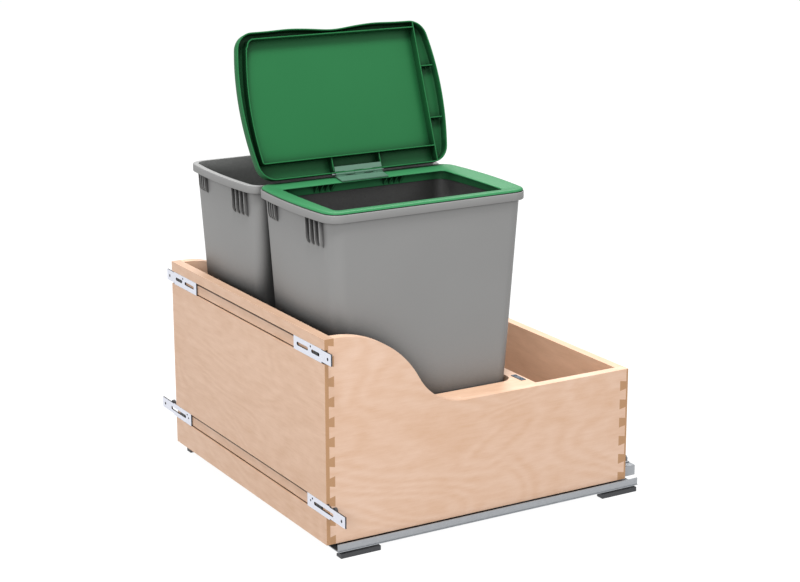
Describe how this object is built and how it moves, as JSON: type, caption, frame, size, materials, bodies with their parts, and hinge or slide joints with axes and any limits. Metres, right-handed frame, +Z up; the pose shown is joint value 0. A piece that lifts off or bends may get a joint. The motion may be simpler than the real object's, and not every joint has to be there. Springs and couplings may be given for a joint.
{
  "type": "pull-out waste container",
  "caption": "Wooden pull-out drawer on floor-mounted full-extension runners holding two tapered waste bins, one with a hinged compost lid, and a low storage bay at the rear.",
  "frame": {"origin": "bottom centre of the bounding box, on the cabinet floor", "axes": "-Y is the way the drawer pulls out and the side with the door brackets, +X is the side with the lidded compost bin, +Z is up"},
  "size_m": [0.671, 0.598, 0.7644],
  "materials": {
    "maple_solid": "clear satin lacquer",
    "maple_ply": "clear satin lacquer",
    "bin_plastic": "fine texture",
    "green_plastic": "satin",
    "frosted_plastic": "frosted, translucent",
    "zinc_steel": "galvanised sheet",
    "bright_zinc": "bright zinc plate",
    "black_screw": "black",
    "dark_nylon": "moulded"
  },
  "bodies": {
    "cabinet_side": {"runner_fixed_right": "zinc_steel", "runner_fixed_left": "zinc_steel", "damper_right": "dark_nylon", "damper_left": "dark_nylon", "foot_front_right": "dark_nylon", "foot_front_left": "dark_nylon", "foot_rear_right": "dark_nylon", "foot_rear_left": "dark_nylon", "foot_rivets": "zinc_steel"},
    "mid_right": {"runner_mid_right": "zinc_steel"},
    "mid_left": {"runner_mid_left": "zinc_steel"},
    "rollers_lower_right": {"cage_lower_right": "bright_zinc"},
    "rollers_lower_left": {"cage_lower_left": "bright_zinc"},
    "rollers_upper_right": {"cage_upper_right": "bright_zinc"},
    "rollers_upper_left": {"cage_upper_left": "bright_zinc"},
    "drawer": {"front_panel": "maple_solid", "rear_panel": "maple_solid", "side_panel_right": "maple_solid", "side_panel_left": "maple_solid", "bottom_panel": "maple_ply", "bin_platform": "maple_ply", "platform_plates": "zinc_steel", "platform_screws": "zinc_steel", "bracket_screws": "black_screw", "clamp_blocks": "black_screw", "runner_drawer_right": "zinc_steel", "runner_drawer_left": "zinc_steel", "rear_hook_right": "zinc_steel", "rear_hook_left": "zinc_steel", "front_clip_right": "dark_nylon", "front_clip_left": "dark_nylon", "clip_screws": "bright_zinc"},
    "upper_right_bracket": {"bracket_upper_right": "bright_zinc"},
    "upper_left_bracket": {"bracket_upper_left": "bright_zinc"},
    "lower_right_bracket": {"bracket_lower_right": "bright_zinc", "bracket_cam_right": "dark_nylon"},
    "lower_left_bracket": {"bracket_lower_left": "bright_zinc", "bracket_cam_left": "dark_nylon"},
    "near_bin": {"bin_near": "bin_plastic", "compost_frame": "green_plastic", "frame_leaf": "frosted_plastic", "hinge_pin": "zinc_steel"},
    "far_bin": {"bin_far": "bin_plastic"},
    "lid_body": {"lid": "green_plastic", "lid_leaf": "frosted_plastic"}
  },
  "joints": [
    {"name": "drawer_slide", "type": "slide", "parent": "cabinet_side", "child": "drawer", "axis": [0, -1, 0], "range_m": [0, 0.54]},
    {"name": "mid_slide_right", "type": "slide", "parent": "cabinet_side", "child": "mid_right", "axis": [0, -1, 0], "range_m": [0, 0.27]},
    {"name": "rollers_lower_slide_right", "type": "slide", "parent": "cabinet_side", "child": "rollers_lower_right", "axis": [0, -1, 0], "range_m": [0, 0.135]},
    {"name": "rollers_upper_slide_right", "type": "slide", "parent": "cabinet_side", "child": "rollers_upper_right", "axis": [0, -1, 0], "range_m": [0, 0.405]},
    {"name": "mid_slide_left", "type": "slide", "parent": "cabinet_side", "child": "mid_left", "axis": [0, -1, 0], "range_m": [0, 0.27]},
    {"name": "rollers_lower_slide_left", "type": "slide", "parent": "cabinet_side", "child": "rollers_lower_left", "axis": [0, -1, 0], "range_m": [0, 0.135]},
    {"name": "rollers_upper_slide_left", "type": "slide", "parent": "cabinet_side", "child": "rollers_upper_left", "axis": [0, -1, 0], "range_m": [0, 0.405]},
    {"name": "upper_right_bracket_adjust", "type": "slide", "parent": "drawer", "child": "upper_right_bracket", "axis": [1, 0, 0], "range_m": [-0.005, 0.005]},
    {"name": "upper_left_bracket_adjust", "type": "slide", "parent": "drawer", "child": "upper_left_bracket", "axis": [-1, 0, 0], "range_m": [-0.005, 0.005]},
    {"name": "lower_right_bracket_adjust", "type": "slide", "parent": "drawer", "child": "lower_right_bracket", "axis": [1, 0, 0], "range_m": [-0.005, 0.005]},
    {"name": "lower_left_bracket_adjust", "type": "slide", "parent": "drawer", "child": "lower_left_bracket", "axis": [-1, 0, 0], "range_m": [-0.005, 0.005]},
    {"name": "near_bin_lift_out", "type": "slide", "parent": "drawer", "child": "near_bin", "axis": [0, 0, 1], "range_m": [0, 0.5]},
    {"name": "far_bin_lift", "type": "slide", "parent": "drawer", "child": "far_bin", "axis": [0, 0, 1], "range_m": [0, 0.005]},
    {"name": "lid_hinge", "type": "hinge", "parent": "near_bin", "child": "lid_body", "pos_m": [0.0126, -0.091, 0.5367], "axis": [0, 1, 0], "range_deg": [0, 110.5]}
  ],
  "couplings": [
    {"joint": "mid_slide_right", "follows": "drawer_slide", "ratio": 0.5},
    {"joint": "rollers_lower_slide_right", "follows": "drawer_slide", "ratio": 0.25},
    {"joint": "rollers_upper_slide_right", "follows": "drawer_slide", "ratio": 0.75},
    {"joint": "mid_slide_left", "follows": "drawer_slide", "ratio": 0.5},
    {"joint": "rollers_lower_slide_left", "follows": "drawer_slide", "ratio": 0.25},
    {"joint": "rollers_upper_slide_left", "follows": "drawer_slide", "ratio": 0.75}
  ]
}
